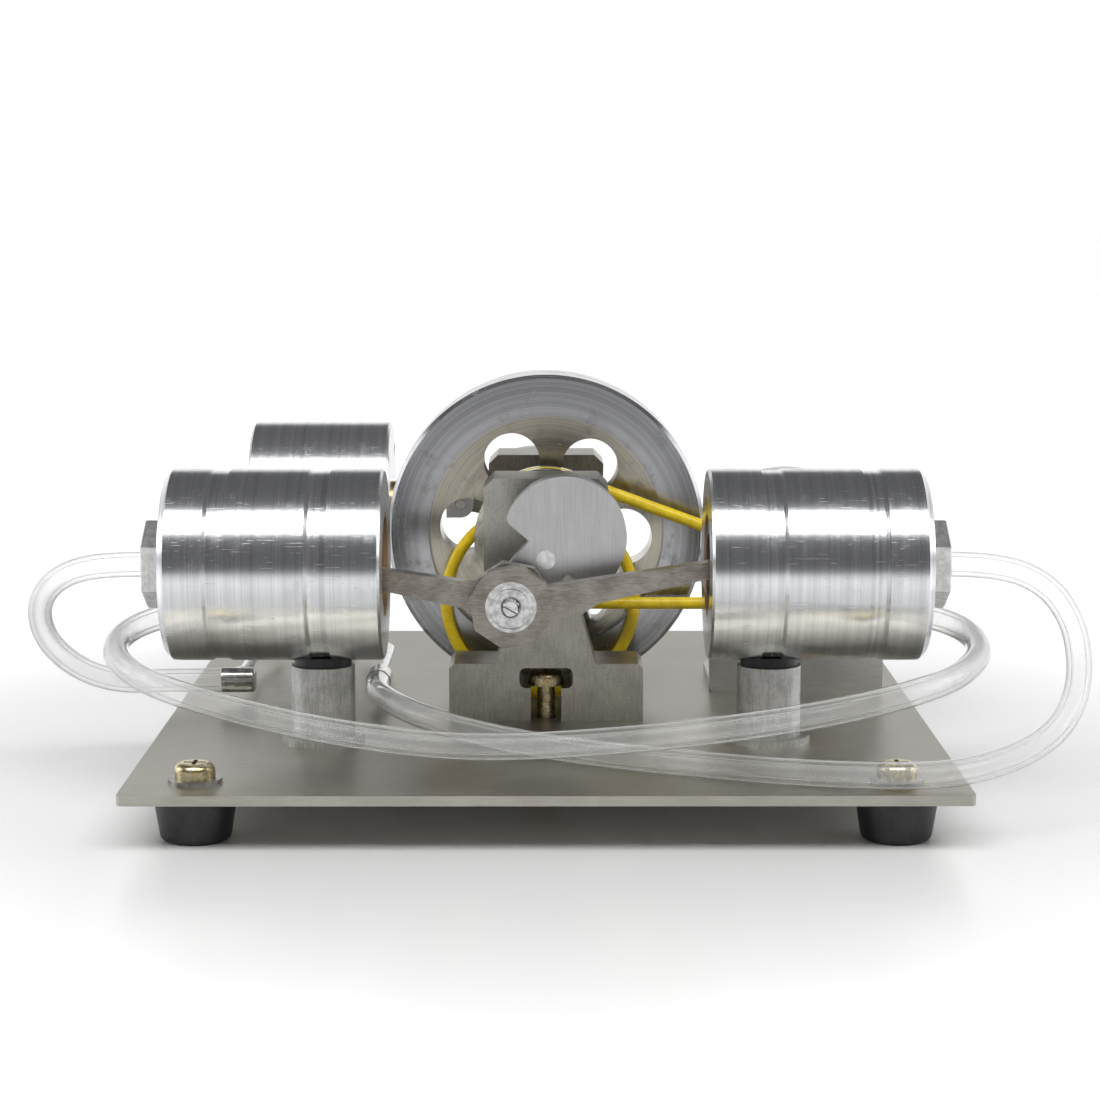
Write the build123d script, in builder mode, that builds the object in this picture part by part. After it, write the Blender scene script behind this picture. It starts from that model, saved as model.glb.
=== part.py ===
"""Stirling engine model with two opposed cold cylinders, a double-acting hot cylinder and a generator.

Millimetres. +X to the right, +Y to the back, +Z up. The origin is on the floor under the plate's centre.
"""
import os
from math import acos, asin, atan2, cos, degrees, pi, radians, sin, sqrt, tan

from build123d import *

# ---- base plate and feet
plate_x, plate_y, plate_t = 124.0, 140.0, 1.5
foot_h = 7.1
foot_r_top, foot_r_low = 6.3, 5.15
screw_x, screw_y = 51.7, 60.5
plate_top = foot_h + plate_t

# ---- shared axis height and M3 hardware
axis_z = plate_top + 28.2
m3_r, m3_hole_r = 1.45, 1.6
head_r, head_h = 3.0, 2.3
washer_r, washer_t = 4.0, 0.6
nut_af, nut_h = 5.5, 2.4
running_gap = 0.03

# ---- front cylinders, pistons and rods
front_y = -32.2
cyl_r, cyl_in, cyl_out = 15.0, 25.2, 59.0
bore_r, bore_end = 6.8, 55.0
liner_r = 8.2
groove_depth = 0.3
inner_groove, outer_groove = (35.1, 3.4), (50.6, 3.2)
plug_af, plug_len, plug_shank_r = 12.0, 3.7, 3.0
plug_x = cyl_out + plug_len
piston_r, piston_wall = 6.75, 1.95
piston_skirt, piston_crown, piston_cavity = 3.0, 10.0, 4.2
wrist_r = 1.0
rod_t, rod_gap = 3.0, 0.4
rod_len, throw = 34.5, 8.4
crank_angle = 229.2
bearing_r, bearing_race_r = 4.0, 2.85
pin_r = 1.5

# ---- crankshaft line, front to back
shaft_r = 1.5
web_t = 4.0
web_front_y = -27.6
front_ped_y, rear_ped_y, ped_t = -17.3, 20.5, 12.0
pulley_y0, belt_y, pulley_y1 = -4.5, -2.0, 0.5
flywheel_y0, flywheel_t, flywheel_r = 4.5, 13.0, 27.0
rear_web_y = 38.5
collar_r, collar_t = 3.2, 3.0

# ---- pedestals
ped_foot_w, ped_foot_h = 31.7, 9.56
ped_stem_w, ped_waist_w, ped_waist_h = 16.2, 11.3, 17.6
ped_head_w, ped_head_low, ped_top = 20.2, 20.5, 39.95
slot_w, slot_low, slot_top, channel_w = 8.7, 5.5, 8.85, 5.0

# ---- rear hot cylinder
hot_x, hot_y = -41.5, 48.0
hot_len, cover_t, hot_bore_r = 25.4, 3.0, 11.0
hot_throw, hot_rod_len = 5.0, 20.0
hot_crank_angle = crank_angle + 90.0
hot_piston_r, hot_piston_t, piston_rod_r = 10.9, 6.0, 1.2
hot_rod_t = 2.4

# ---- belts and generator
belt_r, belt_big_r, belt_small_r = 1.0, 11.0, 3.4
belt_gap = 0.05
gen_x, gen_z = 43.3, plate_top + 20.5
gen_r, gen_y0, gen_y1 = 16.0, 10.0, 34.5
spare_r, spare_x, spare_y = 16.0, -1.0, 2.0

# ---- hoses and transfer pipes
hose_r = 2.0
pipe_r = 0.95
pipe_z = plate_top + 4.0
port_x = (-50.0, -33.4)

crank_pin = (throw * cos(radians(crank_angle)), axis_z + throw * sin(radians(crank_angle)))
hot_pin = (hot_throw * cos(radians(hot_crank_angle)), axis_z + hot_throw * sin(radians(hot_crank_angle)))
rod_slope = degrees(asin((axis_z - crank_pin[1]) / rod_len))
rod_reach = rod_len * cos(radians(rod_slope))
left_wrist_x = crank_pin[0] - rod_reach
right_wrist_x = crank_pin[0] + rod_reach
hot_slope = degrees(asin((axis_z - hot_pin[1]) / hot_rod_len))
crosshead_x = hot_pin[0] - hot_rod_len * cos(radians(hot_slope))
right_rod_y = front_y - rod_gap / 2 - rod_t
left_rod_y = front_y + rod_gap / 2
hot_piston_x = crosshead_x + (hot_x + hot_rod_len)

os.makedirs("parts", exist_ok=True)


def save(part, name):
    part.label = name
    export_step(part, f"parts/{name}.step")


def side_plane(side, y, z):
    """Plane facing the front whose x runs outward to the given side and whose y runs up."""
    return Plane(origin=(0, y, z), x_dir=(side, 0, 0), z_dir=(0, -side, 0))


def crank_plane(y, angle):
    """Plane facing the back, at the shaft, whose x points away from the crank pin."""
    away = radians(angle + 180)
    return Plane(origin=(0, y, axis_z), x_dir=(cos(away), 0, sin(away)), z_dir=(0, 1, 0))


def back_plane(x, y, z):
    """Plane at a point, facing the back, whose x runs to the right."""
    return Plane(origin=(x, y, z), x_dir=(1, 0, 0), z_dir=(0, 1, 0))


def outline(points):
    """A closed straight-sided outline in the current sketch."""
    Polygon(*points, align=None)


def turned(plane, points, axis):
    """A solid turned about an axis from a closed outline in the plane."""
    with BuildPart() as piece:
        with BuildSketch(plane):
            outline(points)
        revolve(axis=axis)
    return piece.part


def pan_screw(x, y, z, length):
    """M3 pan-head screw standing head up, with a cross recess; z is under the head."""
    with BuildPart() as screw:
        with BuildSketch(Plane.XY.offset(z - length)):
            with Locations((x, y)):
                Circle(m3_r)
        extrude(amount=length)
        with BuildSketch(Plane.XY.offset(z)):
            with Locations((x, y)):
                Circle(head_r)
        extrude(amount=head_h)
        fillet(screw.faces().sort_by(Axis.Z)[-1].edges(), 1.1)
        with BuildSketch(Plane.XY.offset(z + head_h)):
            with Locations((x, y)):
                Rectangle(3.2, 0.6)
                Rectangle(0.6, 3.2)
        extrude(amount=-1.3, mode=Mode.SUBTRACT)
    return screw.part


def nut_below(x, y, z):
    """Hexagon nut hanging under height z."""
    with BuildPart() as nut:
        with BuildSketch(Plane.XY.offset(z - nut_h)):
            with Locations((x, y)):
                RegularPolygon(nut_af / 2, 6, major_radius=False)
                Circle(m3_r + 0.02, mode=Mode.SUBTRACT)
        extrude(amount=nut_h)
    return nut.part


def rod_with_eyes(plane, length, thickness, big_r, big_hole_r, small_r, small_hole_r, arm_big, arm_small):
    """Flat connecting rod: big end at the plane's origin, small end out along its x."""
    with BuildPart() as rod:
        with BuildSketch(plane):
            outline([(0, arm_big), (length, arm_small), (length, -arm_small), (0, -arm_big)])
            RegularPolygon(big_r, 8, rotation=22.5)
            with Locations((length, 0)):
                Circle(small_r)
        extrude(amount=thickness)
        with BuildSketch(plane):
            Circle(big_hole_r)
            with Locations((length, 0)):
                Circle(small_hole_r)
        extrude(amount=thickness, mode=Mode.SUBTRACT)
    return rod.part


def rod_bearing(x, y, z, thickness, bore):
    """Ball bearing with a dished ring between its races on both faces."""
    with BuildPart() as bearing:
        with BuildSketch(back_plane(x, y, z)):
            Circle(bearing_r)
            Circle(bore, mode=Mode.SUBTRACT)
        extrude(amount=thickness)
        for face_y in (y, y + thickness - 0.3):
            with BuildSketch(back_plane(x, face_y, z)):
                Circle(bearing_r - 0.55)
                Circle(bearing_race_r, mode=Mode.SUBTRACT)
            extrude(amount=0.3, mode=Mode.SUBTRACT)
    return bearing.part


# ================================================================ plate, feet and their hardware
corners = [(sx * screw_x, sy * screw_y) for sx in (-1, 1) for sy in (-1, 1)]
posts = [(-inner_groove[0], front_y), (inner_groove[0], front_y), (hot_x, hot_y)]
ped_screws = [(0, front_ped_y + 4.0), (0, rear_ped_y + ped_t - 4.0)]
bracket_screws = [(gen_x - 9.0, gen_y0 + 12.0), (gen_x + 9.0, gen_y0 + 12.0)]

with BuildPart() as base_plate:
    with BuildSketch(Plane.XY.offset(foot_h)):
        RectangleRounded(plate_x, plate_y, 1.0)
        with Locations(*corners, *posts, *ped_screws, *bracket_screws):
            Circle(m3_hole_r, mode=Mode.SUBTRACT)
    extrude(amount=plate_t)
save(base_plate.part, "base_plate")

with BuildPart() as rubber_feet:
    for x, y in corners:
        with BuildSketch(Plane.XY.offset(foot_h)):
            with Locations((x, y)):
                Circle(foot_r_top)
        with BuildSketch(Plane.XY):
            with Locations((x, y)):
                Circle(foot_r_low)
        loft()
    fillet(rubber_feet.faces().group_by(Axis.Z)[0].edges(), 1.0)
    with Locations(*[(x, y, 0) for x, y in corners]):
        Cylinder(m3_hole_r, foot_h, align=(Align.CENTER, Align.CENTER, Align.MIN), mode=Mode.SUBTRACT)
        Cylinder(3.4, 3.2, align=(Align.CENTER, Align.CENTER, Align.MIN), mode=Mode.SUBTRACT)
save(rubber_feet.part, "rubber_feet")

washer_top = plate_top + washer_t
foot_screws = Compound(children=[pan_screw(x, y, washer_top, washer_top - 0.6) for x, y in corners])
save(foot_screws, "foot_screws")

with BuildPart() as foot_washers:
    with BuildSketch(Plane.XY.offset(plate_top)):
        with Locations(*corners):
            Circle(washer_r)
            Circle(m3_hole_r, mode=Mode.SUBTRACT)
    extrude(amount=washer_t)
save(foot_washers.part, "foot_washers")

nut_places = [(x, y, 3.2) for x, y in corners] + [(x, y, foot_h) for x, y in ped_screws + bracket_screws]
save(Compound(children=[nut_below(*place) for place in nut_places]), "lock_nuts")

# ================================================================ front cylinders
balance_x, balance_y, balance_z = 45.0, -15.5, plate_top + 18.0
balance_body_r, balance_end_x = 2.5, 50.0


def front_cylinder(side):
    inner, outer = inner_groove, outer_groove
    low = cyl_r - groove_depth
    points = [
        (cyl_in, liner_r), (cyl_in, cyl_r - 0.4), (cyl_in + 0.4, cyl_r),
        (inner[0] - inner[1] / 2, cyl_r), (inner[0] - inner[1] / 2, low),
        (inner[0] + inner[1] / 2 - 0.6, low), (inner[0] + inner[1] / 2, cyl_r),
        (outer[0] - outer[1] / 2, cyl_r), (outer[0] - outer[1] / 2, low),
        (outer[0] + outer[1] / 2 - 0.6, low), (outer[0] + outer[1] / 2, cyl_r),
        (cyl_out - 1.0, cyl_r), (cyl_out, cyl_r - 1.0),
        (cyl_out, plug_shank_r), (bore_end, plug_shank_r), (bore_end, liner_r),
    ]
    drill = Vector(0, front_y - balance_y - 8.5, axis_z - balance_z)
    with BuildPart() as cylinder:
        with BuildSketch(side_plane(side, front_y, axis_z)):
            outline(points)
        revolve(axis=Axis((0, front_y, axis_z), (1, 0, 0)))
        with BuildSketch(back_plane(side * balance_x, balance_y - 8.5, balance_z)):
            Circle(balance_body_r)
        extrude(amount=8.5, mode=Mode.SUBTRACT)
        with BuildSketch(Plane(origin=(side * balance_x, balance_y - 8.0, balance_z), z_dir=drill)):
            Circle(0.8)
        extrude(amount=drill.length - bore_r, mode=Mode.SUBTRACT)
    return cylinder.part


def cylinder_liner(side):
    points = [
        (cyl_in, bore_r + 0.9), (cyl_in, liner_r), (bore_end, liner_r),
        (bore_end, bore_r), (cyl_in + 0.9, bore_r),
    ]
    axis = Axis((0, front_y, axis_z), (1, 0, 0))
    return turned(side_plane(side, front_y, axis_z), points, axis)


def head_plug(side):
    with BuildPart() as plug:
        with BuildSketch(Plane(origin=(side * cyl_out, front_y, axis_z), z_dir=(side, 0, 0))):
            RegularPolygon(plug_af / 2, 6, major_radius=False)
        extrude(amount=plug_len)
        fillet(plug.faces().sort_by(Axis.X)[-1 if side > 0 else 0].edges(), 0.5)
        with BuildSketch(Plane(origin=(side * cyl_out, front_y, axis_z), z_dir=(-side, 0, 0))):
            Circle(plug_shank_r)
        extrude(amount=cyl_out - bore_end)
        with BuildSketch(Plane(origin=(side * bore_end, front_y, axis_z), z_dir=(side, 0, 0))):
            Circle(0.8)
        extrude(amount=cyl_out - bore_end + plug_len, mode=Mode.SUBTRACT)
    return plug.part


save(front_cylinder(-1), "left_cylinder")
save(front_cylinder(1), "right_cylinder")
save(Compound(children=[cylinder_liner(side) for side in (-1, 1)]), "cylinder_liners")
save(Compound(children=[head_plug(side) for side in (-1, 1)]), "head_plugs")


def balance_elbow(side):
    """Elbow in the back of a front cylinder, with its spigot pointing outward."""
    with BuildPart() as elbow:
        with BuildSketch(back_plane(side * balance_x, balance_y - 8.5, balance_z)):
            Circle(balance_body_r)
        extrude(amount=8.5 + balance_body_r)
        fillet(elbow.faces().sort_by(Axis.Y)[-1].edges(), 0.4)
        with BuildSketch(Plane(origin=(side * balance_x, balance_y, balance_z), z_dir=(side, 0, 0))):
            Circle(1.9)
        extrude(amount=balance_end_x - balance_x)
    return elbow.part


save(Compound(children=[balance_elbow(side) for side in (-1, 1)]), "balance_elbows")

post_r, post_disc_r, post_disc_t = 5.0, 6.5, 1.2
post_top = axis_z - cyl_r - 0.9


def post(x, y):
    with BuildPart() as column:
        with BuildSketch(Plane.XY.offset(plate_top)):
            with Locations((x, y)):
                Circle(post_disc_r)
        extrude(amount=post_disc_t)
        with BuildSketch(Plane.XY.offset(plate_top)):
            with Locations((x, y)):
                Circle(post_r)
        extrude(amount=post_top - plate_top)
        with BuildSketch(Plane.XY.offset(plate_top)):
            with Locations((x, y)):
                Circle(m3_r + 0.02)
        extrude(amount=7.0, mode=Mode.SUBTRACT)
    return column.part


def gasket(x, y):
    """Black saddle pad between a post and the round underside of its cylinder."""
    with BuildPart() as pad:
        with BuildSketch(Plane.XY.offset(post_top)):
            with Locations((x, y)):
                Circle(post_r - 0.5)
        extrude(amount=2.0)
        with BuildSketch(Plane(origin=(x - 8, y, axis_z), z_dir=(1, 0, 0))):
            Circle(cyl_r)
        extrude(amount=16, mode=Mode.SUBTRACT)
    return pad.part


def cap_screw_up(x, y):
    """Screw from under the plate into a post."""
    with BuildPart() as screw:
        with BuildSketch(Plane.XY.offset(foot_h - 1.8)):
            with Locations((x, y)):
                Circle(head_r)
                RegularPolygon(1.2, 6, mode=Mode.SUBTRACT)
        extrude(amount=1.8)
        with BuildSketch(Plane.XY.offset(foot_h - 0.5)):
            with Locations((x, y)):
                Circle(m3_r)
        extrude(amount=0.5 + plate_t + 6.5)
    return screw.part


save(Compound(children=[post(x, y) for x, y in posts]), "cylinder_posts")
save(Compound(children=[gasket(x, y) for x, y in posts]), "post_gaskets")
save(Compound(children=[cap_screw_up(x, y) for x, y in posts]), "post_screws")

# ================================================================ pedestals and shaft bearings
ped_bearing_t = 3.0


def pedestal(y):
    head = ped_head_w / 2
    half = [
        (ped_foot_w / 2, 0), (ped_foot_w / 2, ped_foot_h - 0.8), (ped_foot_w / 2 - 0.8, ped_foot_h),
        (ped_stem_w / 2, ped_foot_h), (ped_waist_w / 2, ped_waist_h), (head, ped_head_low),
        (head, ped_top - 1.6), (head - 1.6, ped_top),
    ]
    with BuildPart() as body:
        with BuildSketch(side_plane(1, y, plate_top)):
            outline(half + [(-x, z) for x, z in reversed(half)])
            with Locations((0, (slot_low + slot_top) / 2)):
                RectangleRounded(slot_w, slot_top - slot_low, 1.0, mode=Mode.SUBTRACT)
            with Locations((0, slot_low / 2)):
                Rectangle(channel_w, slot_low + 0.8, mode=Mode.SUBTRACT)
            with Locations((0, axis_z - plate_top)):
                Circle(3.5, mode=Mode.SUBTRACT)
        extrude(amount=-ped_t)
        for face_y in (y, y + ped_t - ped_bearing_t):
            with BuildSketch(back_plane(0, face_y, axis_z)):
                Circle(bearing_r)
            extrude(amount=ped_bearing_t, mode=Mode.SUBTRACT)
    return body.part


save(pedestal(front_ped_y), "front_pedestal")
save(pedestal(rear_ped_y), "rear_pedestal")

bearing_faces = [y for ped in (front_ped_y, rear_ped_y) for y in (ped, ped + ped_t - ped_bearing_t)]
shaft_bearings = [rod_bearing(0, y, axis_z, ped_bearing_t, shaft_r + running_gap) for y in bearing_faces]
save(Compound(children=shaft_bearings), "shaft_bearings")

slot_floor = plate_top + slot_low
mounting_screws = [pan_screw(x, y, slot_floor, slot_floor - 4.0) for x, y in ped_screws]
bracket_t = 2.0
mounting_screws += [pan_screw(x, y, plate_top + bracket_t, plate_top + bracket_t - 4.0)
                    for x, y in bracket_screws]
save(Compound(children=mounting_screws), "mounting_screws")

# ================================================================ crankshaft line
crank_end_y = rear_web_y + web_t
with BuildPart() as crankshaft:
    with BuildSketch(back_plane(0, web_front_y, axis_z)):
        Circle(shaft_r)
    extrude(amount=crank_end_y - web_front_y)
save(crankshaft.part, "crankshaft")


def crank_web(y, angle, pin_throw, lobe_r, lobe_shift):
    with BuildPart() as web:
        with BuildSketch(crank_plane(y, angle)):
            with Locations((lobe_shift, 0)):
                Circle(lobe_r)
            with Locations((0.5 - 20, 0)):
                Rectangle(40, 60, mode=Mode.SUBTRACT)
            with Locations((-pin_throw / 2 + 1.5, 0)):
                Rectangle(pin_throw + 3.0, 8.0)
            with Locations((-pin_throw, 0)):
                Circle(4.0)
            Circle(shaft_r, mode=Mode.SUBTRACT)
        extrude(amount=web_t)
        lobe_tips = [edge for edge in web.edges().filter_by(Axis.Y)
                     if abs(Vector(edge.center()).Y - y - web_t / 2) < 0.1
                     and (Vector(edge.center()) - Vector(0, y + web_t / 2, axis_z)).length > lobe_r * 0.8
                     and (Vector(edge.center()) - Vector(0, y + web_t / 2, axis_z)).length < lobe_r + 1]
        fillet(lobe_tips, 1.4)
        with BuildSketch(crank_plane(y, angle)):
            with Locations((-pin_throw, 0)):
                Circle(1.2)
        extrude(amount=web_t, mode=Mode.SUBTRACT)
    return web.part


save(crank_web(web_front_y, crank_angle, throw, 9.8, 4.6), "front_web")
save(crank_web(rear_web_y, hot_crank_angle, hot_throw, 9.0, 3.4), "rear_web")

shaft_axis = Axis((0, 0, axis_z), (0, 1, 0))
# local x is the distance along the shaft, local y the radius
shaft_section = Plane(origin=(0, 0, axis_z), x_dir=(0, 1, 0), z_dir=(1, 0, 0))

rim_in, flywheel_hub_r, recess = 20.0, 6.4, 2.6
y0, y1 = flywheel_y0, flywheel_y0 + flywheel_t
with BuildPart() as flywheel:
    with BuildSketch(shaft_section):
        outline([
            (y0 + 0.6, shaft_r), (y0 + 0.6, flywheel_hub_r), (y0 + recess, flywheel_hub_r),
            (y0 + recess, rim_in), (y0, rim_in), (y0, flywheel_r - 0.6), (y0 + 0.6, flywheel_r),
            (y1 - 0.6, flywheel_r), (y1, flywheel_r - 0.6), (y1, rim_in), (y1 - recess, rim_in),
            (y1 - recess, flywheel_hub_r), (y1 - 0.6, flywheel_hub_r), (y1 - 0.6, shaft_r),
        ])
    revolve(axis=shaft_axis)
    with BuildSketch(back_plane(0, y0, axis_z)):
        with PolarLocations(13.4, 6, start_angle=4.0):
            Circle(4.8)
    extrude(amount=flywheel_t, mode=Mode.SUBTRACT)
save(flywheel.part, "flywheel")


def grooved_pulley(section, axis, belt_radius, flange_r, hub_r, hub_y1, hole_r):
    """Round-belt pulley: two flanges about a half-round groove, and a hub behind."""
    groove_r = belt_r + belt_gap
    with BuildPart() as pulley:
        with BuildSketch(section):
            outline([(pulley_y0, hole_r), (pulley_y0, flange_r), (pulley_y1, flange_r),
                     (pulley_y1, hub_r), (hub_y1, hub_r), (hub_y1, hole_r)])
            with Locations((belt_y, belt_radius)):
                Circle(groove_r, mode=Mode.SUBTRACT)
            with Locations((belt_y, belt_radius + 5)):
                Rectangle(2 * groove_r, 10, mode=Mode.SUBTRACT)
        revolve(axis=axis)
    return pulley.part


big_pulley = grooved_pulley(shaft_section, shaft_axis, belt_big_r, 12.0, 3.3, flywheel_y0 + 0.6, shaft_r)
save(big_pulley, "belt_pulley")

collar_places = [front_ped_y - collar_t - 0.3, rear_ped_y + ped_t + 0.3]


def collar(y):
    with BuildPart() as ring:
        with BuildSketch(back_plane(0, y, axis_z)):
            Circle(collar_r)
            Circle(shaft_r, mode=Mode.SUBTRACT)
        extrude(amount=collar_t)
        chamfer(ring.edges().filter_by(GeomType.CIRCLE).group_by(SortBy.RADIUS)[-1], 0.3)
        with BuildSketch(Plane(origin=(0, y + collar_t / 2, axis_z), z_dir=(0, 0, 1))):
            Circle(0.8)
        extrude(amount=collar_r + 1, mode=Mode.SUBTRACT)
    return ring.part


def set_screw(y):
    with BuildPart() as grub:
        with BuildSketch(Plane(origin=(0, y + collar_t / 2, axis_z + shaft_r), z_dir=(0, 0, 1))):
            Circle(0.8)
        extrude(amount=collar_r - shaft_r)
        with BuildSketch(Plane(origin=(0, y + collar_t / 2, axis_z + collar_r), z_dir=(0, 0, 1))):
            RegularPolygon(0.45, 6)
        extrude(amount=-0.8, mode=Mode.SUBTRACT)
    return grub.part


collars = [make(y) for make in (collar, set_screw) for y in collar_places]
save(Compound(children=collars), "shaft_collars")

# ================================================================ pistons, rods and the front crank pin


def piston(side, wrist_x):
    mouth, crown = abs(wrist_x) - piston_skirt, abs(wrist_x) + piston_crown
    cavity = abs(wrist_x) + piston_cavity
    grooves = []
    for step in (2.2, 4.4):
        grooves += [(crown - step, piston_r), (crown - step, piston_r - 0.3),
                    (crown - step - 0.6, piston_r - 0.3), (crown - step - 0.6, piston_r)]
    with BuildPart() as body:
        with BuildSketch(side_plane(side, front_y, axis_z)):
            outline([(cavity, 0), (crown, 0), (crown, piston_r)] + grooves
                    + [(mouth, piston_r), (mouth, piston_r - piston_wall),
                       (cavity, piston_r - piston_wall)])
        revolve(axis=Axis((0, front_y, axis_z), (1, 0, 0)))
        with BuildSketch(back_plane(wrist_x, front_y - piston_r, axis_z)):
            Circle(wrist_r)
        extrude(amount=2 * piston_r, mode=Mode.SUBTRACT)
    return body.part


def plain_pin(x, y, z, radius, length):
    with BuildPart() as pin:
        with BuildSketch(back_plane(x, y, z)):
            Circle(radius)
        extrude(amount=length)
        chamfer(pin.edges().filter_by(GeomType.CIRCLE), 0.15)
    return pin.part


wrist_half = 6.2
for name, side, wrist_x in (("left", -1, left_wrist_x), ("right", 1, right_wrist_x)):
    save(piston(side, wrist_x), f"{name}_piston")
    save(plain_pin(wrist_x, front_y - wrist_half, axis_z, wrist_r, 2 * wrist_half), f"{name}_wrist_pin")


def rod_plane(x, y, z, to_x, to_z):
    return Plane(origin=(x, y, z), x_dir=(to_x - x, 0, to_z - z), z_dir=(0, 1, 0))


for name, rod_y, wrist_x in (("left", left_rod_y, left_wrist_x), ("right", right_rod_y, right_wrist_x)):
    plane = rod_plane(crank_pin[0], rod_y, crank_pin[1], wrist_x, axis_z)
    rod = rod_with_eyes(plane, rod_len, rod_t, 6.7, bearing_r, 2.4, wrist_r + running_gap, 2.35, 1.2)
    save(rod, f"{name}_rod")
    bore = pin_r + (running_gap if name == "right" else 0)
    save(rod_bearing(crank_pin[0], rod_y, crank_pin[1], rod_t, bore), f"{name}_rod_bearing")

pin_front_y, pin_back_y = right_rod_y - 1.7, web_front_y - 0.2
with BuildPart() as front_crank_pin:
    with BuildSketch(back_plane(crank_pin[0], pin_front_y, crank_pin[1])):
        Circle(pin_r)
    extrude(amount=pin_back_y - pin_front_y)
    chamfer(front_crank_pin.faces().sort_by(Axis.Y)[0].edges(), 0.35)
    with BuildSketch(back_plane(crank_pin[0], right_rod_y + rod_t + 0.1, crank_pin[1])):
        Circle(2.5)
    extrude(amount=rod_gap - 0.1)
    with BuildSketch(back_plane(crank_pin[0], left_rod_y + rod_t, crank_pin[1])):
        Circle(2.5)
    extrude(amount=pin_back_y - left_rod_y - rod_t)
    with BuildSketch(back_plane(crank_pin[0], pin_front_y, crank_pin[1])):
        Rectangle(3.2, 0.6, rotation=30)
    extrude(amount=0.7, mode=Mode.SUBTRACT)
save(front_crank_pin.part, "crank_pin")

# ================================================================ rear hot cylinder and its gear
hot_half = hot_len / 2
port_y = hot_y
cover_bolt_r, cover_bolts = 13.0, 4
cover_screw_r, cover_head_r, cover_head_t = 0.75, 1.5, 1.3


def hot_plane(x, direction):
    """Plane across the hot cylinder's axis, facing left or right."""
    return Plane(origin=(x, hot_y, axis_z), x_dir=(0, 1, 0), z_dir=(direction, 0, 0))


def hot_cover(inner_x, direction, hole_r=0.0):
    """End cover of the hot cylinder, with four sunk screws and a hole for the gland."""
    with BuildPart() as disc:
        inner_face = hot_plane(inner_x, direction)
        outer_face = hot_plane(inner_x + direction * cover_t, direction)
        with BuildSketch(inner_face):
            Circle(cyl_r)
            if hole_r:
                Circle(hole_r, mode=Mode.SUBTRACT)
            with PolarLocations(cover_bolt_r, cover_bolts, start_angle=45):
                Circle(cover_screw_r, mode=Mode.SUBTRACT)
        extrude(amount=cover_t)
        chamfer(disc.faces().sort_by(Axis.X)[-1 if direction > 0 else 0].outer_wire().edges(), 0.4)
        with BuildSketch(outer_face):
            with PolarLocations(cover_bolt_r, cover_bolts, start_angle=45):
                Circle(cover_head_r)
        extrude(amount=-cover_head_t, mode=Mode.SUBTRACT)
    return disc.part


barrel_x0, barrel_x1 = hot_x - hot_half + cover_t, hot_x + hot_half - cover_t
with BuildPart() as hot_barrel:
    with BuildSketch(hot_plane(barrel_x0, 1)):
        Circle(cyl_r)
        Circle(hot_bore_r, mode=Mode.SUBTRACT)
        with PolarLocations(cover_bolt_r, cover_bolts, start_angle=45):
            Circle(cover_screw_r, mode=Mode.SUBTRACT)
    extrude(amount=barrel_x1 - barrel_x0)
    with Locations(*[(x, port_y, axis_z - cyl_r + 3) for x in port_x]):
        Cylinder(pipe_r, 10, mode=Mode.SUBTRACT)
save(hot_barrel.part, "hot_barrel")

save(hot_cover(barrel_x0, -1), "hot_outer_cover")
save(hot_cover(barrel_x1, 1, hole_r=2.4), "hot_inner_cover")

with BuildPart() as gland_bush:
    with BuildSketch(hot_plane(barrel_x1, 1)):
        Circle(2.4)
    extrude(amount=cover_t)
    with BuildSketch(hot_plane(barrel_x1 + cover_t, 1)):
        Circle(4.0)
    extrude(amount=0.8)
    with BuildSketch(hot_plane(barrel_x1, 1)):
        Circle(piston_rod_r + running_gap)
    extrude(amount=cover_t + 0.8, mode=Mode.SUBTRACT)
save(gland_bush.part, "gland_bush")

cover_screws = []
for direction, face_x in ((-1, barrel_x0 - cover_t), (1, barrel_x1 + cover_t)):
    with BuildPart() as ring_of_screws:
        for radius, depth in ((cover_head_r, cover_head_t), (cover_screw_r, 7.0)):
            with BuildSketch(hot_plane(face_x, direction)):
                with PolarLocations(cover_bolt_r, cover_bolts, start_angle=45):
                    Circle(radius)
            extrude(amount=-depth)
        with BuildSketch(hot_plane(face_x, direction)):
            with PolarLocations(cover_bolt_r, cover_bolts, start_angle=45):
                RegularPolygon(0.8, 6)
        extrude(amount=-0.9, mode=Mode.SUBTRACT)
    cover_screws += list(ring_of_screws.part.solids())
save(Compound(children=cover_screws), "cover_screws")

hot_piston_x0 = hot_piston_x - hot_piston_t / 2
with BuildPart() as hot_piston:
    with BuildSketch(hot_plane(hot_piston_x0, 1)):
        Circle(hot_piston_r)
        Circle(piston_rod_r, mode=Mode.SUBTRACT)
    extrude(amount=hot_piston_t)
    for step in (1.4, 3.8):
        with BuildSketch(hot_plane(hot_piston_x0 + step, 1)):
            Circle(hot_piston_r + 1)
            Circle(hot_piston_r - 0.5, mode=Mode.SUBTRACT)
        extrude(amount=0.8, mode=Mode.SUBTRACT)
save(hot_piston.part, "hot_piston")

rod_start = hot_piston_x - hot_piston_t / 2
fork_back = 2.6
with BuildPart() as piston_rod:
    with BuildSketch(Plane(origin=(rod_start, hot_y, axis_z), z_dir=(1, 0, 0))):
        Circle(piston_rod_r)
    extrude(amount=crosshead_x - fork_back - rod_start)
save(piston_rod.part, "piston_rod")

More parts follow.
